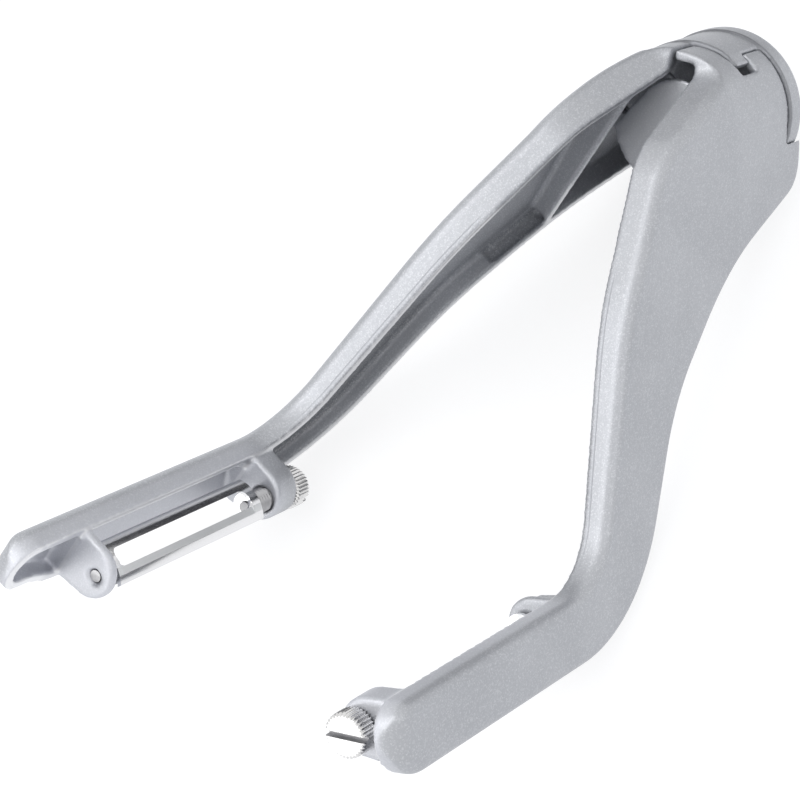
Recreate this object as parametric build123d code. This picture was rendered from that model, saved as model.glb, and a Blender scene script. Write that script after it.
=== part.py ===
from build123d import *
import math
import os

# Tong-shaped double vegetable peeler, lying open on a table.
# Each arm is drawn in its own frame: R runs from the hinge axis to the tips, S runs along the
# hinge axis towards the heads, and N points out of the arm's broad face.
# Lengths are in millimetres, angles in degrees.

# Whole tong
splay = 21.1                # angle of each arm from the middle plane when the tong is open
lie_angle = 51.78           # tilt of the middle plane when the tong lies on its back
overrun = 1.0               # how far a cutting tool runs past the face it cuts
casting_play = 0.3          # gap between the two castings at the hinge

# Hinge knuckles along S, zero where the near knuckle meets the middle one
near_end = 8.2
middle_end = -14.0
far_end = -19.6
knuckle_radius = 16.4
near_knuckle_radius = 15.5
near_knuckle_shift = 0.82   # the near knuckle's axis leans towards the broad face
far_knuckle_radius = 16.9
far_rim_radius = 1.0
wall = 2.0                  # thickness of the castings' walls

# Angles at the hinge, from an arm's N towards its back
meeting_angle = 50.6        # on the right arm, where the two middle shells meet
shell_end_angle = 86.6      # on the left arm, where its middle shell stops
window_angle = 33.9         # on the right arm, lower end of the window in the middle shell
tab_end_angle = 95.6        # on the left arm, free end of the stop tab
near_shell_angle = 80.9     # on the right arm, free end of its near knuckle
near_split_angle = 53.9     # on the left arm, where the near knuckle takes over
window_depth = 6.4
tab_drop = 0.25             # the tab's top lies this far under the shell's surface

# Arm outline in the R-S plane
far_side = -22.0
back_side = -18.0
far_root = 17.0
far_waist = (29.9, 11.7)
far_knee = (50.6, 36.4)
heel = 55.5
head_low = 91.2
head_high = 77.4
head_end = 142.0
nose_low = 88.7             # the nose is narrower than the head it stands on
nose_end = 152.5
nose_taper = (137.0, 144.0)
inner_bend = 70.0
flank_knee = (30.0, 55.0)
flank_shoulder = (1.0, 35.5)
flank_root = -10.5
small_corner = 0.6
far_root_radius = 8.0
far_waist_radius = 80.0
far_knee_radius = 45.0
heel_radius = 34.0
head_end_radius = 5.6
head_low_radius = 8.0         # the right head's corner beyond its blade
nose_taper_radius = 9.0
nose_end_radius = 5.4
nose_edge_radius = 5.0      # rounding of both heads' ends towards the broad face
inner_bend_radius = 16.0
flank_knee_radius = 60.0
flank_shoulder_radius = 18.0
flank_root_radius = 3.0

# Arm section in the R-N plane
web_knee = (24.0, 13.7)     # where the slope from the drum eases off into the broad face
web_fall_share = 0.027      # fall of the broad face past the knee, as a share of the run
web_knee_radius = 80.0
web_edge_radius = 2.6
shoulder_radius = 13.75     # the drum's radius has shrunk to this under the near flank
shoulder_end = 38.0         # S at which it has
lip_level = 6.5             # height in N of the channel's lips
flange_fade = (72.0, 86.0)  # where along S the low flange's lip rises to the head's
head_lip_level = 7.4        # height in N of the low flange's lip between the ears
ramp_foot = 83.5            # R where the head's inner face starts to slope to that lip

# Rib and panel inside the left arm
rib_ends = ((29.0, 16.0), (-9.0, 20.2))
rib_width = 1.6
panel_span = (30.8, 40.8)
panel_depth = 0.5
panel_height = 3.6
panel_level = 9.2
panel_corner = 1.2

# Heads and ears, along S
blade_centre = 83.6         # R of the blade's axis, which has N = 0
tip_ear_face = 135.5
bend_ear_face = 76.8
right_ear_shift = 1.0       # the right head's ears stand this much further out
thick_ear = 6.7             # ear that holds the thumb screw
thin_ear = 2.2              # ear that holds the pivot pin
ear_radius = 5.6
ear_lift = 1.7              # the ear's round end is centred this far above the blade's axis
ear_foot = (77.9, 90.3)     # R of the ear's foot on the web
ear_edge_radius = 0.5
gusset_foot = 78.9          # R of the gusset's side in the near flank
gusset_rise = 5.0
gusset_run = 7.0
gusset_width = 2.4
hump_top_run = 9.3          # the right pin ear's buttress, along S from the ear's face
hump_slope_run = 5.0
hump_level = -4.0
hump_width = 4.0

# Hinge lugs, along S
lobe_span = (4.1, 5.9)
lobe_radius = 14.0
lobe_hub_radius = 9.3
lobe_corner = (-7.0, -6.1)  # R and N where the lobe's straight edge leaves its hub
lobe_link_end = 13.0
near_lug = (0.2, 2.0)
far_lug = (-13.6, -11.6)
hub_radius = 6.4
lug_link_width = 11.0
end_plate = 2.6
boss_play = 0.4             # room between hubs, which a washer fills

# Hinge pin, washers, bush and spring
pin_radius = 2.5
pin_near_end = 4.6
pin_end_play = 0.3          # room in the lobe's blind bore past the pin's end
pin_fit = 0.05
washer_radius = 4.6
washer_thickness = 0.3
bush_wall = 1.4
bush_ends = (-11.3, -0.1)
wire_radius = 0.75
coil_radius = 5.6
coil_pitch = 2.0
whole_turns = 4
coil_start = -9.9
leg_reach = 10.5
seat_width = 4.0
seat_span = (8.0, 12.0)
leg_seat_play = 0.1

# Blades
blade_edges = (-5.4, 3.5)   # guard bar's edge and cutting strip's edge, across the blade
blade_thickness = 0.8
blade_arc_radius = 7.0
blade_crown = 3.3           # distance from the blade's axis to the crown's outer face
blade_root_gap = 4.5        # from the screw's ear to the blade's end
blade_tip_gap = 0.9         # from the pin's ear to the blade's end
slot_edges = (-3.3, 0.45)
slot_margins = (2.4, 1.2)   # solid length at the screw's end and at the pin's end
slot_corner = 1.6
bevel_width = 1.45
bevel_depth = 0.35
tab_half_width = 2.9
left_blade_angle = 65.0     # how far each blade has swung from facing the other arm
right_blade_angle = -105.0

# Thumb screws and pivot pins
thread_radius = 2.5
screw_fit = 0.05
screw_head_radius = 4.2
screw_head_length = 4.2
head_stand = 0.2
knurl_count = 30
knurl_radius = 0.35
head_chamfer = 0.5
drive_slot_width = 1.1
drive_slot_depth = 1.3
drive_slot_angle = -4.0
shank_end_gap = 0.4
shank_chamfer = 0.7
point_radius = 1.1
point_fit = 0.1
point_reach = 1.3
pivot_radius = 1.15
pivot_mouth_radius = 1.6
pivot_mouth_depth = 0.8
pivot_inset = 0.5

full_turn = 360
half_turn = 180
wedge_step = 45
half_way = 0.5
upright_share = 0.6         # an edge that climbs this much more than it runs is left sharp
reach = 2 * far_knuckle_radius              # half the size of a tool that cuts a side away
arm_limit = head_low + overrun              # R beyond every arm
head_middle = (tip_ear_face + bend_ear_face + right_ear_shift) / 2
blade_high = tip_ear_face - thin_ear - blade_tip_gap
blade_low = bend_ear_face + thick_ear + blade_root_gap
spring_turning = full_turn * whole_turns + half_turn - 2 * splay
coil_height = coil_pitch * spring_turning / full_turn
leg_drift = leg_reach * coil_pitch / (math.tau * coil_radius)
left_leg_s = coil_start + coil_height + leg_drift
right_leg_s = coil_start - leg_drift


def drum_lean(radius):
    """Slope of the line from the drum to the broad face's knee, as an angle in radians."""
    knee_distance = math.hypot(*web_knee)
    return math.atan2(*web_knee) - math.acos(radius / knee_distance)


def web_level(r, inset, radius=knuckle_radius):
    """Height in N of the broad face, or of a face inset from it, at a given R."""
    lean = drum_lean(radius)
    steep = min(r, web_knee[0])
    level = (radius - inset) / math.cos(lean) - steep * math.tan(lean)
    return level - (r - steep) * web_fall_share


def cross_plane(s):
    """Plane across the hinge axis, for a face drawn in R and N."""
    return Plane(origin=(0, s, 0), x_dir=(1, 0, 0), z_dir=(0, -1, 0))


def along_s(face, low, high):
    """Prism of a face drawn in R and N, standing between two values of S."""
    return extrude(cross_plane(high) * face, amount=high - low)


def polygon(*points):
    """Face with straight edges through the points."""
    return make_face(Polyline(*points, close=True))


def disc(radius, low, high, r=0, n=0):
    """Round bar along S between two values of S."""
    return along_s(Pos(r, n) * Circle(radius), low, high)


def wedge(inner_angle, outer_angle, low, high):
    """Everything between two angles at the hinge, measured from N towards the back."""
    steps = range(math.ceil((outer_angle - inner_angle) / wedge_step))
    angles = [inner_angle + wedge_step * step for step in steps] + [outer_angle]
    points = [(0, 0)]
    for angle in angles:
        turn = math.radians(angle)
        points.append((-reach * math.sin(turn), reach * math.cos(turn)))
    return along_s(polygon(*points), low, high)


def outline(tip_points, tip_radii):
    """Plan of an arm in R and S, with the corners of its own tip."""
    points = [
        (back_side, far_side),
        (far_root, far_side),
        far_waist,
        far_knee,
        (head_low, heel),
        *tip_points,
        (head_high, inner_bend),
        flank_knee,
        flank_shoulder,
        (flank_root, near_end),
        (back_side, near_end),
    ]
    radii = [
        small_corner,
        far_root_radius,
        far_waist_radius,
        far_knee_radius,
        heel_radius,
        *tip_radii,
        inner_bend_radius,
        flank_knee_radius,
        flank_shoulder_radius,
        flank_root_radius,
        small_corner,
    ]
    return make_face(FilletPolyline(*points, radius=radii, close=True))


def section(drum_radius, inset, floor):
    """Drum round the hinge and the broad face, in R and N, down to a floor."""
    lean = drum_lean(drum_radius)
    radius = drum_radius - inset
    knee = (web_knee[0], web_level(web_knee[0], inset, drum_radius))
    broad = polygon(
        (0, floor),
        (arm_limit, floor),
        (arm_limit, web_level(arm_limit, inset, drum_radius)),
        knee,
        (radius * math.sin(lean), radius * math.cos(lean)),
        (0, radius),
    )
    broad = fillet(broad.vertices().sort_by_distance(knee)[0], web_knee_radius)
    above = polygon((-reach, floor), (arm_limit, floor), (arm_limit, reach), (-reach, reach))
    return (Circle(radius) + broad) & above


def form(inset, floor, end):
    """Solid under the drum and the broad face, which sinks towards the near flank."""
    drum = section(knuckle_radius, inset, floor)
    shoulder = section(shoulder_radius, inset, floor)
    start = (cross_plane(near_end) * drum).face()
    finish = (cross_plane(shoulder_end) * shoulder).face()
    blend = loft([start, finish], ruled=True)
    solid = along_s(drum, far_side - overrun, near_end) + blend
    return solid + along_s(shoulder, shoulder_end, end + overrun)


def rounded_end(inset, end):
    """Everything on the hinge's side of a head's rounded end."""
    radius = nose_edge_radius - inset
    top = web_level(blade_centre, inset, shoulder_radius)
    profile = polygon(
        (far_side - overrun, -reach),
        (end - inset, -reach),
        (end - inset, top - radius),
        (end - inset - radius, top - radius),
        (end - inset - radius, reach),
        (far_side - overrun, reach),
    )
    return along_r(profile + Pos(end - inset - radius, top - radius) * Circle(radius), -reach, arm_limit)


def along_r(face, low, high):
    """Prism of a face drawn in S and N, standing between two values of R."""
    plane = Plane(origin=(low, 0, 0), x_dir=(0, 1, 0), z_dir=(1, 0, 0))
    return extrude(plane * face, amount=high - low)


def rim_edges(body, plan):
    """Edges of a body that run along its plan's outline on the broad face, past the drum."""
    outer = plan.face().outer_wire()
    past_drum = knuckle_radius * math.sin(drum_lean(knuckle_radius)) + small_corner
    rim = []
    for edge in body.edges():
        middle = edge.center()
        run = edge % half_way
        upright = abs(run.Z) > abs(run.X) + upright_share
        on_rim = outer.distance_to(Vector(middle.X, middle.Y, 0)) < small_corner / 2
        if middle.X > past_drum and middle.Z > lip_level + wall and on_rim and not upright:
            rim.append(edge)
    return rim


def channel(plan, end):
    """Open channel of an arm: broad face, flanks and drum, hollow from inside."""
    body = extrude(plan, amount=reach) & form(0, lip_level, end)
    body = fillet(rim_edges(body, plan), web_edge_radius)
    pocket = extrude(offset(plan, amount=-wall), amount=reach) & form(wall, 0, end)
    return (body & rounded_end(0, end)) - (pocket & rounded_end(wall, end))


def open_low_side(end):
    """Tool that raises the lip of the head's low flange, to clear the way to the blade."""
    profile = polygon(
        (flange_fade[0], -reach),
        (flange_fade[0], lip_level),
        (flange_fade[1], head_lip_level),
        (end, head_lip_level),
        (end, -reach),
    )
    return along_r(profile, head_low - 2 * wall, arm_limit)


def head_ramp():
    """Sloping inner wall of a head, from its inner face to the low flange's lip."""
    top = web_level(ramp_foot, wall / 2, shoulder_radius)
    profile = polygon(
        (ramp_foot, top),
        (ramp_foot, web_level(ramp_foot, wall, shoulder_radius)),
        (head_low - wall, head_lip_level),
        (head_low - wall / 2, head_lip_level),
        (head_low - wall / 2, top),
    )
    return along_s(profile, bend_ear_face + thin_ear / 2, tip_ear_face - thin_ear / 2)


def near_knuckle_face(radius):
    """Circle of the near knuckle, whose axis leans towards the broad face."""
    lean = drum_lean(knuckle_radius)
    place = Pos(near_knuckle_shift * math.sin(lean), near_knuckle_shift * math.cos(lean))
    return place * Circle(radius)


def near_step():
    """Tool that turns the drum down to the near knuckle."""
    split = knuckle_radius * math.sin(drum_lean(knuckle_radius))
    side = polygon((-reach, -reach), (split, -reach), (split, reach), (-reach, reach))
    return along_s(side - near_knuckle_face(near_knuckle_radius), 0, near_end + overrun)


def lug(span):
    """Bearing lug inside an arm: a hub and its link to the broad face."""
    link = polygon(
        (-lug_link_width / 2, 0),
        (lug_link_width / 2, 0),
        (lug_link_width / 2, web_level(0, wall / 2)),
        (-lug_link_width / 2, web_level(0, wall)),
    )
    bounded = link & Circle(knuckle_radius - wall / 2)
    return along_s(Circle(hub_radius) + bounded, span[0], span[1])


def leg_seat(s):
    """Boss under the broad face that the spring's leg presses on."""
    level = coil_radius + wire_radius + leg_seat_play
    face = polygon(
        (seat_span[0], level),
        (seat_span[1], level),
        (seat_span[1], web_level(seat_span[1], wall / 2)),
        (seat_span[0], web_level(seat_span[0], wall / 2)),
    )
    return along_s(face, s - seat_width / 2, s + seat_width / 2)


def ear(low, high):
    """Ear that stands in from the broad face and holds one end of a blade."""
    level = web_level(blade_centre, wall)
    foot = Pos((ear_foot[0] + ear_foot[1]) / 2, level)
    foot = foot * Rectangle(ear_foot[1] - ear_foot[0], wall / 2)
    tip = Pos(blade_centre, ear_lift) * Circle(ear_radius)
    plate = along_s(make_hull(foot.edges() + tip.edges()), low, high)
    rim = plate.edges().filter_by(GeomType.CIRCLE)
    return fillet(rim, ear_edge_radius)


def gusset(face):
    """Web between the thick ear's inner face and the broad face."""
    level = web_level(gusset_foot, wall / 2)
    profile = polygon(
        (face - overrun, level),
        (face - overrun, level - gusset_rise),
        (face, level - gusset_rise),
        (face + gusset_run, level),
    )
    return along_r(profile, gusset_foot, gusset_foot + gusset_width)


def on_far_ear(shape):
    """The same piece at the other end of the head."""
    return mirror(shape, about=Plane(origin=(0, head_middle, 0), z_dir=(0, 1, 0)))


def ears():
    """Ears of a head whose screw stands at the bend, with the holes to drill in them."""
    screw_ear = ear(bend_ear_face, bend_ear_face + thick_ear)
    pin_ear = ear(tip_ear_face - thin_ear, tip_ear_face)
    web = gusset(bend_ear_face + thick_ear) + head_ramp()
    screw_hole = disc(
        thread_radius + screw_fit,
        bend_ear_face - overrun,
        bend_ear_face + thick_ear + overrun,
        blade_centre,
    )
    pin_hole = disc(
        pivot_radius, tip_ear_face - thin_ear - overrun, tip_ear_face + overrun, blade_centre
    )
    mouth = disc(
        pivot_mouth_radius,
        tip_ear_face - pivot_mouth_depth,
        tip_ear_face + overrun,
        blade_centre,
    )
    return screw_ear + pin_ear + web, screw_hole + pin_hole + mouth


def make_left_arm():
    """Left arm: drum cap, middle shell with the stop tab, and the head with the nose."""
    plan = outline(
        [
            (head_low, nose_taper[0]),
            (nose_low, nose_taper[1]),
            (nose_low, nose_end),
            (head_high, nose_end),
        ],
        [nose_taper_radius, nose_taper_radius, nose_end_radius, nose_end_radius],
    )
    arm = channel(plan, nose_end)
    arm -= open_low_side(tip_ear_face - thin_ear)
    arm -= near_step()
    arm -= wedge(near_split_angle, half_turn, -casting_play / 2, near_end + overrun)
    shell = Circle(knuckle_radius) - Circle(knuckle_radius - wall)
    arm += along_s(shell, middle_end - overrun, -casting_play / 2) & wedge(
        0, shell_end_angle, middle_end - overrun, near_end
    )
    tab = Circle(knuckle_radius - tab_drop) - Circle(knuckle_radius - wall)
    arm += along_s(tab, -window_depth + casting_play, -casting_play / 2) & wedge(
        0, tab_end_angle, -window_depth, near_end
    )
    cap = disc(far_knuckle_radius, far_end, middle_end - casting_play / 2)
    cap = fillet(cap.edges().sort_by(Axis.Y)[0], far_rim_radius)
    cap -= disc(far_knuckle_radius - wall, far_end + end_plate, middle_end)
    cap += disc(hub_radius, far_end + end_plate, far_lug[0] - boss_play)
    arm -= disc(far_knuckle_radius + casting_play, far_side - overrun, far_end)
    arm += cap
    arm += lug(near_lug)
    arm += leg_seat(left_leg_s)
    arm += rib(plan)
    arm -= panel(plan)
    pieces, holes = ears()
    arm += pieces
    arm -= holes
    arm -= disc(pin_radius, far_end - overrun, near_end)
    return arm


def rib(plan):
    """Rib that crosses the left arm's channel below the hinge."""
    start = Vector(*rib_ends[0])
    run = Vector(*rib_ends[1]) - start
    bar = Rectangle(run.length + 2 * wall, rib_width)
    turn = math.degrees(math.atan2(run.Y, run.X))
    middle = start + run / 2
    bar = extrude(Pos(middle.X, middle.Y, lip_level) * Rot(0, 0, turn) * bar, amount=reach)
    inside = extrude(offset(plan, amount=-wall / 2), amount=reach)
    return bar & inside & form(wall / 2, 0, head_end)


def panel(plan):
    """Shallow recess in the inner face of the left arm's far flank."""
    width = panel_span[1] - panel_span[0]
    window = RectangleRounded(width, panel_height, panel_corner)
    tool = along_s(Pos(panel_span[0] + width / 2, panel_level) * window, 0, head_low / 2)
    return tool & extrude(offset(plan, amount=-(wall - panel_depth)), amount=reach)


def make_right_arm():
    """Right arm: near knuckle, middle shell with the tab's window, lobe and plain head."""
    plan = outline(
        [(head_low, head_end), (head_high, head_end)], [head_low_radius, head_end_radius]
    )
    arm = channel(plan, head_end)
    arm -= open_low_side(tip_ear_face)
    arm -= near_step()
    knuckle = near_knuckle_face(near_knuckle_radius)
    knuckle -= near_knuckle_face(near_knuckle_radius - wall)
    arm += along_s(knuckle, 0, near_end) & wedge(0, near_shell_angle, 0, near_end)
    arm -= wedge(meeting_angle, half_turn, far_side - overrun, casting_play / 2)
    arm -= wedge(window_angle, meeting_angle + overrun, -window_depth, casting_play / 2)
    arm -= disc(
        far_knuckle_radius + casting_play, far_side - overrun, middle_end + casting_play / 2
    )
    arm += lug(far_lug)
    arm += leg_seat(right_leg_s)
    arm += lobe()
    pieces, holes = ears()
    arm += on_far_ear(pieces)
    arm += hump()
    arm -= on_far_ear(holes)
    arm -= disc(pin_radius + pin_fit, far_end, pin_near_end + pin_end_play)
    return arm


def lobe():
    """Plate that closes the near knuckle and carries the right arm's outer bearing."""
    link = polygon(
        lobe_corner,
        (0, -lobe_radius),
        (reach, -lobe_radius),
        (reach, 0),
        (0, 0),
    )
    link = link & Circle(lobe_radius)
    foot = polygon(
        (0, 0),
        (lobe_link_end, 0),
        (lobe_link_end, web_level(lobe_link_end, wall / 2)),
        (0, web_level(0, wall)),
    )
    plate = along_s(Circle(lobe_hub_radius) + link + foot, lobe_span[0], lobe_span[1])
    return plate + disc(hub_radius, near_lug[1] + boss_play, lobe_span[0])


def hump():
    """Buttress behind the right arm's pin ear, on the side of the bend."""
    level = web_level(blade_centre, wall / 2)
    profile = polygon(
        (bend_ear_face + thin_ear / 2, level),
        (bend_ear_face + thin_ear / 2, hump_level),
        (bend_ear_face - hump_top_run, hump_level),
        (bend_ear_face - hump_top_run - hump_slope_run, level),
    )
    block = along_r(profile, blade_centre - hump_width / 2, blade_centre + hump_width / 2)
    return block


def hinge_bar(radius, bore, low, high):
    """Tube or washer on the hinge axis."""
    return along_s(Circle(radius) - Circle(bore), low, high)


def spring_path():
    """Leg on the right arm, coil about the hinge axis, leg on the left arm."""
    coil = Helix(pitch=coil_pitch, height=coil_height, radius=coil_radius)
    towards_right_arm = (-math.sin(math.radians(splay)), 0, -math.cos(math.radians(splay)))
    place = Plane(origin=(0, coil_start, 0), x_dir=towards_right_arm, z_dir=(0, 1, 0))
    coil = place.location * coil
    right_leg = Line(coil @ 0 - (coil % 0) * leg_reach, coil @ 0)
    left_leg = Line(coil @ 1, coil @ 1 + (coil % 1) * leg_reach)
    return Wire([right_leg.edge(), coil.edge(), left_leg.edge()])


def spring_self_gap(path):
    """Least gap between the spring's wire and itself, measured on points of the path."""
    count = math.ceil(path.length / wire_radius)
    points = [path.position_at(index / count) for index in range(count + 1)]
    half_winding = math.ceil(count * math.pi * coil_radius / path.length)
    gaps = []
    for index, point in enumerate(points):
        for other in points[index + half_winding:]:
            gaps.append((point - other).length)
    return min(gaps) - 2 * wire_radius


def make_spring():
    """Torsion spring round the hinge pin, wound from one wire."""
    path = spring_path()
    print("least self gap of the torsion spring", round(spring_self_gap(path), 2))
    start = Plane(origin=path @ 0, z_dir=path % 0)
    return sweep(start * Circle(wire_radius), path=path)


def blade_section():
    """Arched section of a blade in its own R and N, with its axis at zero."""
    ring = Circle(blade_arc_radius) - Circle(blade_arc_radius - blade_thickness)
    side = polygon(
        (blade_edges[0], -reach),
        (blade_edges[1], -reach),
        (blade_edges[1], 0),
        (blade_edges[0], 0),
    )
    return (Pos(0, blade_arc_radius - blade_crown) * ring) & side


def blade_tab():
    """Tab bent in at a blade's end, in R and N."""
    tongue = Circle(tab_half_width) + polygon(
        (-tab_half_width, -reach),
        (tab_half_width, -reach),
        (tab_half_width, 0),
        (-tab_half_width, 0),
    )
    return tongue & (Pos(0, blade_arc_radius - blade_crown) * Circle(blade_arc_radius))


def make_blade(angle):
    """Left blade in the left arm's frame, swung from where its crown faces the other arm."""
    blade = along_s(blade_section(), blade_low, blade_high)
    slot_low = blade_low + slot_margins[0]
    slot_high = blade_high - slot_margins[1]
    slot_width = slot_edges[1] - slot_edges[0]
    slot = RectangleRounded(slot_width, slot_high - slot_low, slot_corner)
    slot = Pos((slot_edges[0] + slot_edges[1]) / 2, (slot_low + slot_high) / 2, -reach) * slot
    blade -= extrude(slot, amount=reach)
    bevel_end = slot_edges[1] + bevel_width
    skin = blade_arc_radius - blade_crown - math.sqrt(blade_arc_radius**2 - bevel_end**2)
    bevel = polygon(
        (slot_edges[1] - overrun, -blade_crown + bevel_depth),
        (slot_edges[1], -blade_crown + bevel_depth),
        (bevel_end, skin),
        (bevel_end, -reach),
        (slot_edges[1] - overrun, -reach),
    )
    blade -= along_s(bevel, slot_low, slot_high)
    blade += along_s(blade_tab(), blade_low, blade_low + blade_thickness)
    blade += along_s(blade_tab(), blade_high - blade_thickness, blade_high)
    blade -= disc(
        point_radius + point_fit, blade_low - overrun, blade_low + blade_thickness + overrun
    )
    blade -= disc(
        pivot_radius + point_fit, blade_high - blade_thickness - overrun, blade_high + overrun
    )
    return Pos(blade_centre, 0, 0) * Rot(0, angle, 0) * blade


def make_pivot_pin():
    """Pin on which the blade's tip end swings."""
    low = blade_high - blade_thickness - shank_end_gap
    return disc(pivot_radius, low, tip_ear_face - pivot_inset, blade_centre)


def make_thumb_screw():
    """Knurled screw through the thick ear, whose point carries the blade's other end."""
    head_start = bend_ear_face - head_stand - screw_head_length
    head_stop = bend_ear_face - head_stand
    face = Circle(screw_head_radius)
    face -= PolarLocations(screw_head_radius, knurl_count) * Circle(knurl_radius)
    blank = disc(screw_head_radius, head_start, head_stop)
    blank = chamfer(blank.edges().filter_by(GeomType.CIRCLE), head_chamfer)
    head = along_s(face, head_start, head_stop) & blank
    slot = Rot(0, 0, drive_slot_angle) * Rectangle(drive_slot_width, 2 * reach)
    head -= along_s(slot, head_start, head_start + drive_slot_depth)
    shank = disc(thread_radius, head_stop, blade_low - shank_end_gap)
    shank = chamfer(shank.edges().sort_by(Axis.Y)[-1], shank_chamfer)
    point = disc(point_radius, head_stop, blade_low + point_reach)
    return Pos(blade_centre, 0, 0) * (head + shank + point)


rest = Plane(
    origin=(0, 0, 0),
    x_dir=(math.cos(math.radians(lie_angle)), 0, -math.sin(math.radians(lie_angle))),
    z_dir=(0, -1, 0),
).location
left_frame = rest * Rot(0, -splay, 0)
right_frame = rest * Rot(0, splay, 0)


def on_right(shape):
    """A piece drawn in an arm's frame, put on the right arm."""
    return right_frame * mirror(shape, about=Plane.XY)


def make_tong():
    """Every piece in its place, with the hinge's centre at zero."""
    pivot = make_pivot_pin()
    screw = make_thumb_screw()
    near_gap = near_lug[1] + boss_play / 2
    far_gap = far_lug[0] - boss_play / 2
    half = washer_thickness / 2
    bore = pin_radius + pin_fit
    return {
        "left_arm": left_frame * make_left_arm(),
        "right_arm": on_right(make_right_arm()),
        "hinge_pin": rest * disc(pin_radius, far_end, pin_near_end),
        "near_washer": rest * hinge_bar(washer_radius, bore, near_gap - half, near_gap + half),
        "far_washer": rest * hinge_bar(washer_radius, bore, far_gap - half, far_gap + half),
        "spring_bush": rest * hinge_bar(bore + bush_wall, bore, bush_ends[0], bush_ends[1]),
        "torsion_spring": rest * make_spring(),
        "left_blade": left_frame * make_blade(left_blade_angle),
        "right_blade": on_right(on_far_ear(make_blade(right_blade_angle))),
        "left_pivot_pin": left_frame * pivot,
        "right_pivot_pin": on_right(on_far_ear(pivot)),
        "left_thumb_screw": left_frame * screw,
        "right_thumb_screw": on_right(on_far_ear(screw)),
    }


def build():
    """Sets the tong down with the middle of its box at zero and writes every piece."""
    os.makedirs("parts", exist_ok=True)
    tong = make_tong()
    box = Compound(children=[Compound(piece.solids()) for piece in tong.values()]).bounding_box()
    shift = Pos(-box.center().X, -box.center().Y, -box.min.Z)
    for name, piece in tong.items():
        export_step(Compound((shift * piece).solids()), "parts/" + name + ".step")
    print("hinge centre", tuple(shift.position))
    print("size", tuple(box.size))


build()
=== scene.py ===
import math

import bmesh
import bpy
from mathutils import Matrix, Vector


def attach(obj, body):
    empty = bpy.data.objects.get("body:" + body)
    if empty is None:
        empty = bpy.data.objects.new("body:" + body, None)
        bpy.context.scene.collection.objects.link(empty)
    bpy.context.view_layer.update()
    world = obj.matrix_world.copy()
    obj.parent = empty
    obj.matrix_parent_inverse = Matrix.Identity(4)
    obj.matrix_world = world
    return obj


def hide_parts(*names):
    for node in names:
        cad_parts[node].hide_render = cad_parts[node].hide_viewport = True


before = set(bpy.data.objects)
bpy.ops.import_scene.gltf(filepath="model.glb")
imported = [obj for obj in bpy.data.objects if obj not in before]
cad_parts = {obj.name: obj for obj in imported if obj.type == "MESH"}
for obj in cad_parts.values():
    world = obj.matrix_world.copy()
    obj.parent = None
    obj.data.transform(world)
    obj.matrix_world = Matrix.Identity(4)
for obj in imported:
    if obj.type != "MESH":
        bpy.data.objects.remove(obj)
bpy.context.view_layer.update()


# The camera stands at the photograph's viewing angle, above the open side of the tong,
# with the lens that makes the near head as much larger than the hinge as it is there.
VIEW_POINT = Vector((0.20978, 0.20538, 0.44464))
VIEW_BACK = Vector((0.3808, 0.4280, 0.8192)).normalized()
VIEW_UP = Vector((-0.73654, -0.39500, 0.54900))
LENS_PIXELS = 2617.8
FRAME_PIXELS = 800
SENSOR_MM = 36.0

view_right = VIEW_UP.cross(VIEW_BACK).normalized()
view_up = VIEW_BACK.cross(view_right)
camera = bpy.data.objects.new("camera", bpy.data.cameras.new("camera"))
camera.data.sensor_width = SENSOR_MM
camera.data.lens = SENSOR_MM * LENS_PIXELS / FRAME_PIXELS
camera.data.clip_start = 0.05
turned = Matrix((view_right, view_up, VIEW_BACK)).transposed()
camera.matrix_world = Matrix.Translation(VIEW_POINT) @ turned.to_4x4()
bpy.context.scene.collection.objects.link(camera)
bpy.context.scene.camera = camera
bpy.context.scene.view_settings.view_transform = "Standard"


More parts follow.
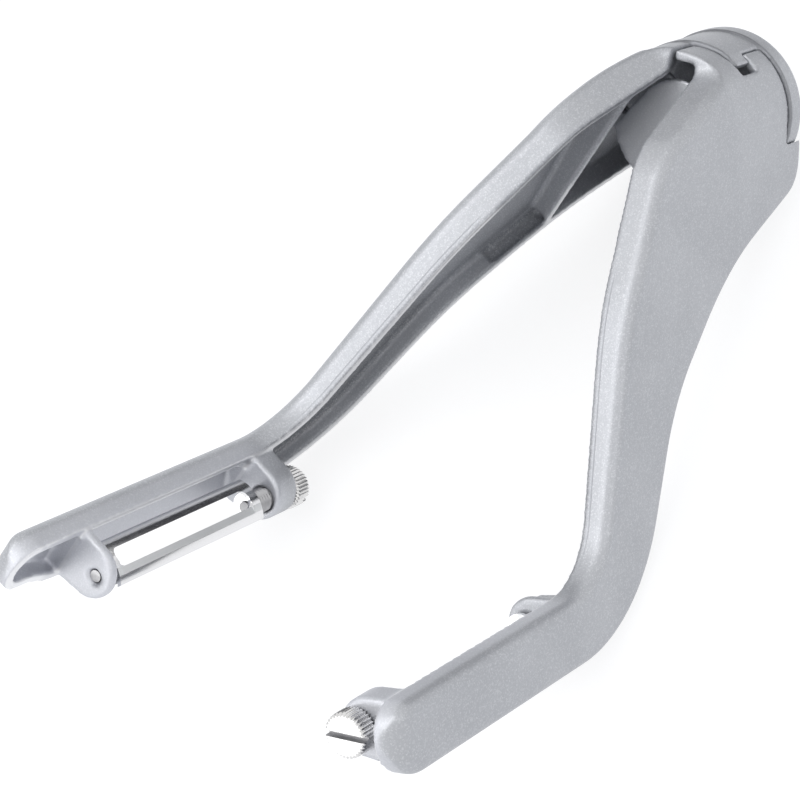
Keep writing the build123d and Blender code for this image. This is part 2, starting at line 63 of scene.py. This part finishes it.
# The table top is plain white paper, as white as the background, and only the tong's soft
# shadow is left on it. Its material is made with the class that all materials here share:
# it wraps a socket, and its sums add Math nodes.
class Signal:
    """An output socket of a node tree, or the bare tree where nothing is wired yet."""

    def __init__(self, tree, socket=None):
        self.tree = tree
        self.socket = socket

    def make(self, kind, settings=None, values=None, out=0):
        """Adds a node: its type, its settings, then the values or links of its sockets."""
        node = self.tree.nodes.new(kind)
        for name, value in (settings or {}).items():
            setattr(node, name, value)
        for name, value in (values or {}).items():
            if isinstance(value, Signal):
                self.tree.links.new(value.socket, node.inputs[name])
            else:
                node.inputs[name].default_value = value
        return Signal(self.tree, node.outputs[out] if len(node.outputs) else None)

    def output(self, name):
        """Another output of the same node."""
        return Signal(self.tree, self.socket.node.outputs[name])

    def sum_of(self, operation, first, second=0.0):
        """One Math node on two values."""
        return self.make("ShaderNodeMath", {"operation": operation}, {0: first, 1: second})

    def __add__(self, other):
        return self.sum_of("ADD", self, other)

    __radd__ = __add__

    def __sub__(self, other):
        return self.sum_of("SUBTRACT", self, other)

    def __rsub__(self, other):
        return self.sum_of("SUBTRACT", other, self)

    def __mul__(self, other):
        return self.sum_of("MULTIPLY", self, other)

    __rmul__ = __mul__

    def __truediv__(self, other):
        return self.sum_of("DIVIDE", self, other)

    def size(self):
        """The signal without its sign."""
        return self.sum_of("ABSOLUTE", self)

    def step(self, low, high, at_low=0.0, at_high=1.0):
        """Smooth step from one value to another while the signal goes from low to high."""
        values = {0: self, 1: low, 2: high, 3: at_low, 4: at_high}
        settings = {"interpolation_type": "SMOOTHSTEP"}
        return self.make("ShaderNodeMapRange", settings, values)

    def tint(self, first, second):
        """Colour that goes from the first to the second as the signal goes from 0 to 1."""
        settings = {"data_type": "RGBA"}
        return self.make("ShaderNodeMix", settings, {0: self, 6: first, 7: second}, out=2)

    def along(self, axis, origin=Vector()):
        """Distance of a point from an origin, measured along an axis."""
        settings = {"operation": "DOT_PRODUCT"}
        dot = self.make("ShaderNodeVectorMath", settings, {0: self, 1: axis}, out="Value")
        return dot - axis.dot(origin)

    def noise(self, scale, detail=2.0):
        """Noise at a position."""
        sockets = {"Vector": self, "Scale": scale, "Detail": detail}
        return self.make("ShaderNodeTexNoise", None, sockets)

    def lines(self, scale, detail):
        """Noise along a distance, as lines across it."""
        sockets = {"W": self, "Scale": scale, "Detail": detail}
        return self.make("ShaderNodeTexNoise", {"noise_dimensions": "1D"}, sockets)

    def parts(self):
        """The three coordinates of a position."""
        node = self.make("ShaderNodeSeparateXYZ", None, {0: self})
        return node, node.output("Y"), node.output("Z")


def new_material(name):
    """Empty node material, and its bare tree to make nodes in."""
    material = bpy.data.materials.new(name)
    material.use_nodes = True
    tree = material.node_tree
    tree.nodes.clear()
    return material, Signal(tree)


PAPER_COLOUR = (0.86, 0.87, 0.88, 1.0)
PAPER_GLOW = 0.78
PAPER_SHARE = 0.34
PAPER_HALF = 3.0

paper, wires = new_material("white_paper")
path = wires.make("ShaderNodeLightPath")
seen = path.output("Is Camera Ray") + path.output("Is Glossy Ray")
seen = (seen + path.output("Is Transmission Ray")).step(0.0, 1.0)
plain = wires.make("ShaderNodeBsdfDiffuse", None, {"Color": PAPER_COLOUR})
shaded = wires.make("ShaderNodeBsdfDiffuse", None, {"Color": (PAPER_SHARE,) * 3 + (1.0,)})
glow = wires.make("ShaderNodeEmission", None, {"Strength": PAPER_GLOW})
white = wires.make("ShaderNodeAddShader", None, {0: shaded, 1: glow})
mixed = wires.make("ShaderNodeMixShader", None, {0: seen, 1: plain, 2: white})
wires.make("ShaderNodeOutputMaterial", None, {"Surface": mixed})

table = bpy.data.meshes.new("table_top")
corners = [(-PAPER_HALF, -PAPER_HALF), (PAPER_HALF, -PAPER_HALF)]
corners += [(PAPER_HALF, PAPER_HALF), (-PAPER_HALF, PAPER_HALF)]
table.from_pydata([(x, y, 0.0) for x, y in corners], [], [(0, 1, 2, 3)])
table.materials.append(paper)
table_top = bpy.data.objects.new("table_top", table)
bpy.context.scene.collection.objects.link(table_top)


# The studio is a white room. Soft boxes stand where the flanks, the rims and the blades
# mirror them, and leave the broad faces a plain grey. Two dark cards, which only mirrors
# see, put a dark edge into the blades and the drum of the hinge.
ROOM_COLOUR = (0.90, 0.93, 1.0, 1.0)
ROOM_LEVEL = 0.62
SUBJECT = Vector((0.0, 0.0, 0.03))
SOFT_BOXES = (
    # name, direction from the tong, distance, width, height, brightness
    ("flank_box", (0.42, -0.26, 0.86), 0.85, 0.90, 0.90, 1.38),
    ("lobe_box", (0.90, -0.42, 0.20), 0.70, 0.40, 0.16, 1.5),
    ("rim_box", (0.06, 0.76, 0.65), 0.80, 0.14, 0.30, 1.7),
)
DARK_CARDS = (
    # name, direction from the tong, distance, width, height
    ("high_card", (0.42, 0.08, 0.85), 0.70, 0.13, 0.42),
    ("low_card", (-0.95, -0.28, 0.02), 0.34, 0.30, 0.10),
)
CARD_GREY = (0.05, 0.05, 0.055, 1.0)

room = bpy.data.worlds.new("studio")
room.use_nodes = True
room.node_tree.nodes.clear()
wires = Signal(room.node_tree)
path = wires.make("ShaderNodeLightPath")
seen = path.output("Is Camera Ray") + path.output("Is Glossy Ray")
seen = (seen + path.output("Is Transmission Ray")).step(0.0, 1.0)
soft = wires.make("ShaderNodeBackground", None, {"Color": ROOM_COLOUR, "Strength": ROOM_LEVEL})
white = wires.make("ShaderNodeBackground", None, {"Color": (1.0,) * 4, "Strength": 1.0})
mixed = wires.make("ShaderNodeMixShader", None, {0: seen, 1: soft, 2: white})
wires.make("ShaderNodeOutputWorld", None, {"Surface": mixed})
bpy.context.scene.world = room


def turned_to_tong(direction, distance):
    """Place of a box or card that stands in a direction from the tong and faces it."""
    towards = Vector(direction).normalized()
    facing = towards.to_track_quat("Z", "Y").to_matrix().to_4x4()
    return Matrix.Translation(SUBJECT + towards * distance) @ facing


for name, direction, distance, width, height, brightness in SOFT_BOXES:
    lamp = bpy.data.lights.new(name, "AREA")
    lamp.shape = "RECTANGLE"
    lamp.size = width
    lamp.size_y = height
    lamp.energy = brightness * math.pi * width * height
    soft_box = bpy.data.objects.new(name, lamp)
    soft_box.matrix_world = turned_to_tong(direction, distance)
    soft_box.visible_camera = False
    bpy.context.scene.collection.objects.link(soft_box)

black, wires = new_material("black_card")
cloth = wires.make("ShaderNodeBsdfDiffuse", None, {"Color": CARD_GREY})
wires.make("ShaderNodeOutputMaterial", None, {"Surface": cloth})
for name, direction, distance, width, height in DARK_CARDS:
    sheet = bpy.data.meshes.new(name)
    corners = [(-width, -height), (width, -height), (width, height), (-width, height)]
    sheet.from_pydata([(x / 2, y / 2, 0.0) for x, y in corners], [], [(0, 1, 2, 3)])
    sheet.materials.append(black)
    sheet.transform(turned_to_tong(direction, distance))
    card = bpy.data.objects.new(name, sheet)
    card.visible_camera = False
    card.visible_diffuse = False
    card.visible_shadow = False
    bpy.context.scene.collection.objects.link(card)


# The two arms are aluminium die castings, sprayed with a fine sparkling silver paint. The
# open side of each channel is left as cast, darker and rougher. Deep in the channel it is
# painted darker still, as painted shade. Its lips are painted lighter, as wear and as a
# painted highlight. The hollows and noses of the heads and the plates by the hinge are
# painted lighter, as painted light. Their corners run soft, so each casting is skinned again
# from its solid.

# An arm has its own directions: out to the tips, up to the heads, out of the broad face.
HINGE = Vector((-0.070967, 0.0, 0.025011))
HEADWARDS = Vector((0.785641, 0.0, 0.618683))
SPLAY = math.radians(21.1)
MIDDLE = Vector((0.618683, 0.0, -0.785641))
LIP_LEVEL = 0.0065
LIP_FADE = (0.00055, 0.0002)
LIP_START = (0.018, 0.022)
INSIDE_START = (LIP_LEVEL, LIP_LEVEL + 0.0006)
SEAM_LEVEL = 0.0079
SEAM_FADE = (0.0002, 0.00006)
SEAM_START = (0.020, 0.026)
SEAM_END = (0.074, 0.064)
BEND_SLOPE = 0.56
NEAR_FLANK = (0.017, 0.018)
FAR_FLANK = (0.018, 0.017)
HEAD_SHADE = (0.074, 0.086)
HEAD_HOLLOW = (0.078, 0.086)
NOSE_START = (0.1375, 0.1420)
PANEL_START = (0.0305, 0.0311)
PANEL_END = (0.0411, 0.0405)
PANEL_LEVEL = 0.0092
PANEL_FADE = (0.0021, 0.0016)
DEEP_SHADE_START = (0.046, 0.056)
PLATE_HEIGHT = 0.0059
PLATE_FADE = (0.0008, 0.0004)
PLATE_END = (0.019, 0.017)
DRUM_SQUARE_START = (0.00019, 0.00021)
DRUM_SQUARE_END = (0.00034, 0.00032)
NEAR_JOINT = -0.00015
FAR_JOINT = -0.01415
JOINT_FADE = (0.0007, 0.0003)
JOINT_SHADE = {-1: 0.75, 1: 0.0}
PAINT = (0.47, 0.48, 0.505, 1.0)
PAINT_CLOUDED = (0.44, 0.45, 0.475, 1.0)
PAINT_FLAKE = (0.86, 0.87, 0.89, 1.0)
HOLLOW_PAINTED_LIGHT = (0.74, 0.75, 0.80, 1.0)
PLATE_PAINTED_LIGHT = (0.66, 0.67, 0.70, 1.0)
NOSE_PAINTED_LIGHT = (0.93, 0.94, 0.97, 1.0)
AS_CAST = (0.33, 0.34, 0.365, 1.0)
CAST_DEEP_SHADE = (0.20, 0.205, 0.22, 1.0)
LIP_WEAR_AND_HIGHLIGHT = (0.78, 0.78, 0.79, 1.0)
FLAKE_TURN = Vector((0.5, 0.3, 0.2))
SEAM_GAP = 1e-6
SKIN_VOXEL = 0.00042
SKIN_ROUNDS = 9
SKIN_SHARE = 0.66


def arm_axes(side):
    """Directions of an arm: out to its tip and out of its broad face. Left is -1."""
    sideways = Vector((0.0, side, 0.0))
    tipwards = math.cos(SPLAY) * MIDDLE + math.sin(SPLAY) * sideways
    outwards = math.cos(SPLAY) * sideways - math.sin(SPLAY) * MIDDLE
    return tipwards, outwards


def surface(wires, relief, strength, distance, sockets):
    """Wires a principled surface with a relief to the material's output."""
    bump = {"Strength": strength, "Distance": distance, "Height": relief}
    bump = wires.make("ShaderNodeBump", None, bump)
    shader = wires.make("ShaderNodeBsdfPrincipled", None, dict(sockets, Normal=bump))
    wires.make("ShaderNodeOutputMaterial", None, {"Surface": shader})


def silver_paint(name, side):
    """Sparkling silver paint over a casting whose open side is left as cast, with painted shade
    and painted light on it.
    """
    tipwards, outwards = arm_axes(side)
    material, wires = new_material(name)
    place = wires.make("ShaderNodeTexCoord", None, None, out="Object")
    level = place.along(outwards, HINGE)
    normal = wires.make("ShaderNodeNewGeometry", None, None, out="Normal")
    facing = normal.along(outwards)
    reach = place.along(tipwards, HINGE)
    height = place.along(HEADWARDS, HINGE)
    below_bend = height - reach * BEND_SLOPE
    # inside the heads, the open side's as-cast grey, its painted shade and its roughness fade
    # to a quarter
    shade = height.step(*HEAD_SHADE, 1.0, 0.25)
    inside = facing.step(0.0, -0.45) * level.step(*INSIDE_START) * shade
    in_head = facing.step(0.3, -0.2) * height.step(*HEAD_HOLLOW)
    nose = facing.step(-0.35, -0.75) * height.step(*NOSE_START)
    seam = (level - SEAM_LEVEL).size().step(*SEAM_FADE) * reach.step(*SEAM_START)
    seam = seam * height.step(*SEAM_END) * facing.size().step(0.5, 0.4)
    seam = seam * below_bend.step(*NEAR_FLANK)
    panel = reach.step(*PANEL_START) * reach.step(*PANEL_END)
    panel = panel * (level - PANEL_LEVEL).size().step(*PANEL_FADE) * below_bend.step(*FAR_FLANK)
    plate = normal.along(HEADWARDS).step(0.80, 0.95) * reach.step(*PLATE_END)
    plate = plate * (height - PLATE_HEIGHT).size().step(*PLATE_FADE)
    from_pin = reach * reach + level * level
    joint = (height - NEAR_JOINT).size().step(*JOINT_FADE)
    joint = joint + (height - FAR_JOINT).size().step(*JOINT_FADE)
    joint = joint * from_pin.step(*DRUM_SQUARE_START) * from_pin.step(*DRUM_SQUARE_END)
    joint = joint * facing.size().step(0.97, 0.93)
    lip = (level - LIP_LEVEL).size().step(*LIP_FADE) * reach.step(*LIP_START)

    cloud = place.noise(55.0, 3.0)
    flakes = {"Vector": place, "Scale": 4300.0}
    glint = wires.make("ShaderNodeTexVoronoi", None, flakes, out="Color").along(FLAKE_TURN)
    grain = place.noise(2600.0)
    pits = place.noise(700.0, 4.0)

    colour = cloud.step(0.35, 0.65).tint(PAINT, PAINT_CLOUDED)
    # the open side is as-cast grey, painted darker further from the hinge as painted shade deep
    # in the channel
    cast = reach.step(*DEEP_SHADE_START).tint(AS_CAST, CAST_DEEP_SHADE)
    colour = (inside * 0.85).tint(colour, cast)
    # the panel is painted darker and rougher: partly a rough cast panel, partly painted shade
    colour = (panel * 0.55).tint(colour, CAST_DEEP_SHADE)
    # faces by the hinge that look towards the heads are painted lighter: painted light
    colour = (plate * 0.8).tint(colour, PLATE_PAINTED_LIGHT)
    colour = (glint.step(0.45, 0.90) * 0.28).tint(colour, PAINT_FLAKE)
    # the hollows inside the heads are painted lighter: painted light where they lie in shade
    colour = (in_head * 0.55).tint(colour, HOLLOW_PAINTED_LIGHT)
    # the inner faces of the noses are painted almost white: painted light
    colour = (nose * 0.9).tint(colour, NOSE_PAINTED_LIGHT)
    # the lips are painted lighter and glossier: wear, and a painted highlight along the rim
    colour = (lip * 0.5).tint(colour, LIP_WEAR_AND_HIGHLIGHT)
    colour = (seam * 0.7).tint(colour, AS_CAST)
    # the knuckle joints of the left arm are painted darker: painted shade in the gaps between
    # knuckles
    colour = (joint * JOINT_SHADE[side]).tint(colour, CAST_DEEP_SHADE)
    roughness = 0.40 + inside * 0.18 + grain * 0.10 - lip * 0.12
    rough_cast = inside * 2.0 + panel * 3.0 + plate * 2.0
    relief = grain * 0.8 + glint * 0.6 + pits * rough_cast - seam * 3.0
    metallic = 0.82 - inside * 0.25
    sockets = {"Base Color": colour, "Metallic": metallic, "Roughness": roughness}
    surface(wires, relief, 0.30, 0.00006, sockets)
    return material


def skinned(node, name, material):
    """Copy of a casting's solid with its corners run soft, as one closed skin."""
    solid = bpy.data.objects.new(name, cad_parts[node].data.copy())
    bpy.context.scene.collection.objects.link(solid)
    merged = bmesh.new()
    merged.from_mesh(solid.data)
    bmesh.ops.remove_doubles(merged, verts=merged.verts, dist=SEAM_GAP)
    merged.to_mesh(solid.data)
    merged.free()
    skin = solid.modifiers.new("skin", "REMESH")
    skin.mode = "VOXEL"
    skin.voxel_size = SKIN_VOXEL
    skin.use_smooth_shade = True
    soften = solid.modifiers.new("soften", "SMOOTH")
    soften.factor = 0.5
    soften.iterations = SKIN_ROUNDS
    thin = solid.modifiers.new("thin", "DECIMATE")
    thin.ratio = SKIN_SHARE
    bpy.context.view_layer.update()
    graph = bpy.context.evaluated_depsgraph_get()
    mesh = bpy.data.meshes.new_from_object(solid.evaluated_get(graph))
    bpy.data.objects.remove(solid)
    mesh.materials.clear()
    mesh.materials.append(material)
    for polygon in mesh.polygons:
        polygon.use_smooth = True
    casting = bpy.data.objects.new(name, mesh)
    bpy.context.scene.collection.objects.link(casting)
    return casting


for side, word in ((-1, "left"), (1, "right")):
    silver = silver_paint(word + "_silver_paint", side)
    casting = skinned(word + "_arm", word + "_casting", silver)
    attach(casting, word + "_arm_body")
    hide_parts(word + "_arm")


# The blades are bent from spring steel strip and polished. Each has a slot whose outer
# edge is ground to a cutting bevel, and its two end tabs swing on the screw's point and
# on the pin.
BLADE_RADIUS = 0.0836
BLADE_SWINGS = {-1: 65.0, 1: -105.0}
BEVEL_START = (0.00035, 0.00045)
BEVEL_END = (0.0019, 0.0018)
MARKS_LEAN = 0.35
POLISHED = (0.80, 0.80, 0.81, 1.0)
GROUND = (0.74, 0.75, 0.76, 1.0)


def blade_steel(name, side):
    """Polished strip with fine lines along it, and grinding marks across its bevel."""
    tipwards, outwards = arm_axes(side)
    swing = math.radians(BLADE_SWINGS[side])
    across_axis = math.cos(swing) * tipwards - math.sin(swing) * outwards
    centre = HINGE + BLADE_RADIUS * tipwards
    material, wires = new_material(name)
    place = wires.make("ShaderNodeTexCoord", None, None, out="Object")
    across = place.along(across_axis, centre)
    length = place.along(HEADWARDS, HINGE)
    bevel = across.step(*BEVEL_START) * across.step(*BEVEL_END)
    marks = (length + across * MARKS_LEAN).lines(2600.0, 3.0)
    relief = across.lines(9000.0, 3.0) * (1.0 - bevel) * 0.5 + marks * bevel * 1.6
    roughness = 0.10 + bevel * 0.26 + place.noise(260.0) * 0.06
    colour = bevel.tint(POLISHED, GROUND)
    sockets = {"Base Color": colour, "Metallic": 1.0, "Roughness": roughness}
    surface(wires, relief, 0.25, 0.00003, sockets)
    return material


def dress(node, material):
    """Gives a node of the frame its finish."""
    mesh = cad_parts[node].data
    mesh.materials.clear()
    mesh.materials.append(material)


for side, word in ((-1, "left"), (1, "right")):
    dress(word + "_blade", blade_steel(word + "_blade_steel", side))


# The thumb screws are turned brass, knurled and nickel plated. Each goes through the thick
# ear of its head: a knurled head with a slot for a coin, a threaded shank, and a point
# that the blade swings on.
NICKEL = (0.76, 0.755, 0.75, 1.0)
NICKEL_DULL = (0.52, 0.52, 0.52, 1.0)
# darker greys for the slot and the shank of the screws: painted shade
SLOT_SHADE = (0.40, 0.40, 0.41, 1.0)
SLOT_SHADE_DARK = (0.24, 0.24, 0.25, 1.0)
NICKEL_POLISH = 0.14
SLOT_SHADE_POLISH = 0.34
SCREW_SIZES = {
    "Head Radius": 0.0042,
    "Head Length": 0.0042,
    "Tooth Count": 34.0,
    "Tooth Depth": 0.00032,
    "Chamfer": 0.0004,
    "Slot Width": 0.0011,
    "Slot Depth": 0.0013,
    "Slot Angle": math.radians(-86.0),
    "Shank Radius": 0.0025,
    "Shank Length": 0.0110,
    "Thread Pitch": 0.0008,
    "Thread Depth": 0.00035,
    "Point Radius": 0.0011,
    "Point Length": 0.0017,
}
SCREW_FACES = {-1: 0.0724, 1: 0.1409}
HEAD_MESH = {"Vertices": 272, "Side Segments": 14}
SHANK_MESH = {"Vertices": 48, "Side Segments": 110}
POINT_MESH = {"Vertices": 32, "Side Segments": 2}
CRISP_EDGE = math.radians(28)
SAME_POINT = 1e-7
# The slot's cutter in head radii and slot depths, and where the slot's own faces lie as
# shares of its width, of its depth and of the head's length.
SLOT_CUTTER = (3.0, 2.0)
SLOT_WALL = 0.51
SLOT_MOUTH = 0.04
SLOT_FLOOR = 1.02
HEAD_BACK = 1.01


def nickel_plate(name, bright, dull, polish):
    """Nickel plate with turning marks, dull in places; in darker colours, the painted shade of
    a slot and shank.
    """
    material, wires = new_material(name)
    place = wires.make("ShaderNodeTexCoord", None, None, out="Object")
    cloud = place.noise(420.0)
    colour = (cloud.step(0.45, 0.75) * 0.35).tint(bright, dull)
    roughness = polish + cloud * 0.12
    turning = place.along(HEADWARDS, HINGE).lines(5200.0, 2.0)
    sockets = {"Base Color": colour, "Metallic": 1.0, "Roughness": roughness}
    surface(wires, turning, 0.15, 0.00002, sockets)
    return material


def upright(wires, mesh, radius, length, foot):
    """Upright cylinder that stands on a height."""
    sockets = dict(mesh, Radius=radius, Depth=length)
    bar = wires.make("GeometryNodeMeshCylinder", {"fill_type": "NGON"}, sockets)
    shift = wires.make("ShaderNodeCombineXYZ", None, {"Z": foot + length * 0.5})
    return wires.make("GeometryNodeTransform", None, {"Geometry": bar, "Translation": shift})


def drawn_in(shape, depth, radius, x, y, z):
    """The shape with its points drawn in towards its axis by a depth."""
    share = 1.0 - depth / radius
    point = shape.make("ShaderNodeCombineXYZ", None, {"X": x * share, "Y": y * share, "Z": z})
    return shape.make("GeometryNodeSetPosition", None, {"Geometry": shape, "Position": point})


def screw_tree():
    """Geometry nodes for a thumb screw that stands on its head at zero and points up Z."""
    tree = bpy.data.node_groups.new("thumb_screw", "GeometryNodeTree")
    for name, value in SCREW_SIZES.items():
        socket = tree.interface.new_socket(name, in_out="INPUT", socket_type="NodeSocketFloat")
        socket.default_value = value
    for name in ("Finish", "Slot Shade"):
        tree.interface.new_socket(name, in_out="INPUT", socket_type="NodeSocketMaterial")
    tree.interface.new_socket("Screw", in_out="OUTPUT", socket_type="NodeSocketGeometry")
    wires = Signal(tree)
    given = wires.make("NodeGroupInput")
    size = {name: given.output(name) for name in SCREW_SIZES}
    x, y, z = wires.make("GeometryNodeInputPosition").parts()
    turn = wires.sum_of("ARCTAN2", y, x)
    flat = wires.make("ShaderNodeCombineXYZ", None, {"X": x, "Y": y})
    radius = wires.make("ShaderNodeVectorMath", {"operation": "LENGTH"}, {0: flat}, out="Value")

    # the knurled head, with its two chamfers and its slot
    half_length = size["Head Length"] * 0.5
    tooth = wires.sum_of("COSINE", turn * size["Tooth Count"])
    groove = (0.5 - tooth * 0.5) * size["Tooth Depth"]
    corner = (z - half_length).size() - (half_length - size["Chamfer"])
    corner = wires.sum_of("MAXIMUM", corner)
    head = upright(wires, HEAD_MESH, size["Head Radius"], size["Head Length"], 0.0)
    head = drawn_in(head, groove + corner, radius, x, y, z)
    across = size["Head Radius"] * SLOT_CUTTER[0]
    deep = size["Slot Depth"] * SLOT_CUTTER[1]
    cutter = {"X": across, "Y": size["Slot Width"], "Z": deep}
    cutter = wires.make("ShaderNodeCombineXYZ", None, cutter)
    cutter = wires.make("GeometryNodeMeshCube", None, {"Size": cutter})
    slot_turn = wires.make("ShaderNodeCombineXYZ", None, {"Z": size["Slot Angle"]})
    cutter = {"Geometry": cutter, "Rotation": slot_turn}
    cutter = wires.make("GeometryNodeTransform", None, cutter)
    cut = {"Mesh 1": head, "Mesh 2": cutter}
    head = wires.make("GeometryNodeMeshBoolean", {"operation": "DIFFERENCE"}, cut)

    # the threaded shank, and the point that the blade swings on
    foot = size["Head Length"]
    shank = upright(wires, SHANK_MESH, size["Shank Radius"], size["Shank Length"], foot)
    winding = wires.sum_of("FRACT", z / size["Thread Pitch"] - turn * (1.0 / math.tau))
    thread = (winding * 2.0 - 1.0).size() * size["Thread Depth"]
    shank = drawn_in(shank, thread, radius, x, y, z)
    foot = foot + size["Shank Length"]
    tip = upright(wires, POINT_MESH, size["Point Radius"], size["Point Length"], foot)
    screw = wires.make("GeometryNodeJoinGeometry")
    for shape in (head, shank, tip):
        tree.links.new(shape.socket, screw.socket.node.inputs[0])
    screw = wires.make("GeometryNodeRealizeInstances", None, {0: screw})

    # plate on the whole screw, and a darker, rougher material in the slot and on the shank as
    # painted shade
    finish = {"Geometry": screw, "Material": given.output("Finish")}
    screw = wires.make("GeometryNodeSetMaterial", None, finish)
    sine = wires.sum_of("SINE", size["Slot Angle"])
    cosine = wires.sum_of("COSINE", size["Slot Angle"])
    off_slot = (y * cosine - x * sine).size() - size["Slot Width"] * SLOT_WALL
    dark = wires.sum_of("LESS_THAN", off_slot)
    dark = dark * wires.sum_of("GREATER_THAN", z, size["Slot Depth"] * SLOT_MOUTH)
    dark = dark * wires.sum_of("LESS_THAN", z, size["Slot Depth"] * SLOT_FLOOR)
    dark = dark + wires.sum_of("GREATER_THAN", z, size["Head Length"] * HEAD_BACK)
    finish = {"Geometry": screw, "Selection": dark, "Material": given.output("Slot Shade")}
    screw = wires.make("GeometryNodeSetMaterial", None, finish)
    wires.make("NodeGroupOutput", None, {"Screw": screw})
    return tree


def made_by(tree, name, inputs, place):
    """Plain mesh of a geometry tree, put in its place, with its corners kept crisp."""
    maker = bpy.data.objects.new(name, bpy.data.meshes.new(name))
    bpy.context.scene.collection.objects.link(maker)
    modifier = maker.modifiers.new(name, "NODES")
    modifier.node_group = tree
    sockets = {item.name: item.identifier for item in tree.interface.items_tree}
    for label, value in inputs.items():
        modifier[sockets[label]] = value
    bpy.context.view_layer.update()
    graph = bpy.context.evaluated_depsgraph_get()
    mesh = bpy.data.meshes.new_from_object(maker.evaluated_get(graph))
    bpy.data.objects.remove(maker)
    mesh.transform(place)
    shape = bmesh.new()
    shape.from_mesh(mesh)
    bmesh.ops.remove_doubles(shape, verts=shape.verts, dist=SAME_POINT)
    bmesh.ops.recalc_face_normals(shape, faces=shape.faces)
    for edge in shape.edges:
        edge.smooth = edge.calc_face_angle(math.pi) < CRISP_EDGE
    for face in shape.faces:
        face.smooth = True
    shape.to_mesh(mesh)
    shape.free()
    piece = bpy.data.objects.new(name, mesh)
    bpy.context.scene.collection.objects.link(piece)
    return piece


tree = screw_tree()
nickel = nickel_plate("nickel_plate", NICKEL, NICKEL_DULL, NICKEL_POLISH)
# the same plate in darker greys paints the shade in the slot and on the shank
shaded_slot = nickel_plate("slot_and_shank_shade", SLOT_SHADE, SLOT_SHADE_DARK, SLOT_SHADE_POLISH)
screw_materials = {"Finish": nickel, "Slot Shade": shaded_slot}
for side, word in ((-1, "left"), (1, "right")):
    tipwards, outwards = arm_axes(side)
    inwards = -side * HEADWARDS
    stand = HINGE + BLADE_RADIUS * tipwards + SCREW_FACES[side] * HEADWARDS
    turned = Matrix((tipwards, -outwards, inwards)).transposed()
    place = Matrix.Translation(stand) @ turned.to_4x4()
    thumb_screw = made_by(tree, word + "_knurled_screw", screw_materials, place)
    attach(thumb_screw, word + "_screw_body")
    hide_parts(word + "_thumb_screw")


# The pivot pins, the hinge pin and the torsion spring are drawn steel: the pins are pressed
# into the castings, and the spring lies round a nylon bush that turns on the hinge pin.
STEEL = (0.52, 0.52, 0.53, 1.0)
STEEL_DARK = (0.26, 0.26, 0.27, 1.0)
NYLON = (0.62, 0.61, 0.58, 1.0)
NYLON_WORN = (0.50, 0.49, 0.47, 1.0)


def drawn_steel():
    """Bright drawn wire with a thin film of oil here and there."""
    material, wires = new_material("drawn_steel")
    place = wires.make("ShaderNodeTexCoord", None, None, out="Object")
    film = place.noise(330.0, 4.0)
    colour = film.step(0.40, 0.70).tint(STEEL, STEEL_DARK)
    roughness = 0.20 + film * 0.15
    sockets = {"Base Color": colour, "Metallic": 1.0, "Roughness": roughness}
    surface(wires, place.noise(3100.0), 0.2, 0.00002, sockets)
    return material


def nylon():
    """Natural nylon, a little rubbed where it turns."""
    material, wires = new_material("nylon")
    place = wires.make("ShaderNodeTexCoord", None, None, out="Object")
    rub = place.noise(600.0, 3.0)
    colour = rub.step(0.4, 0.7).tint(NYLON, NYLON_WORN)
    surface(wires, rub, 0.2, 0.00003, {"Base Color": colour, "Roughness": 0.42 + rub * 0.15})
    return material


steel = drawn_steel()
for node in ("hinge_pin", "torsion_spring", "left_pivot_pin", "right_pivot_pin"):
    dress(node, steel)
plastic = nylon()
for node in ("near_washer", "far_washer", "spring_bush"):
    dress(node, plastic)
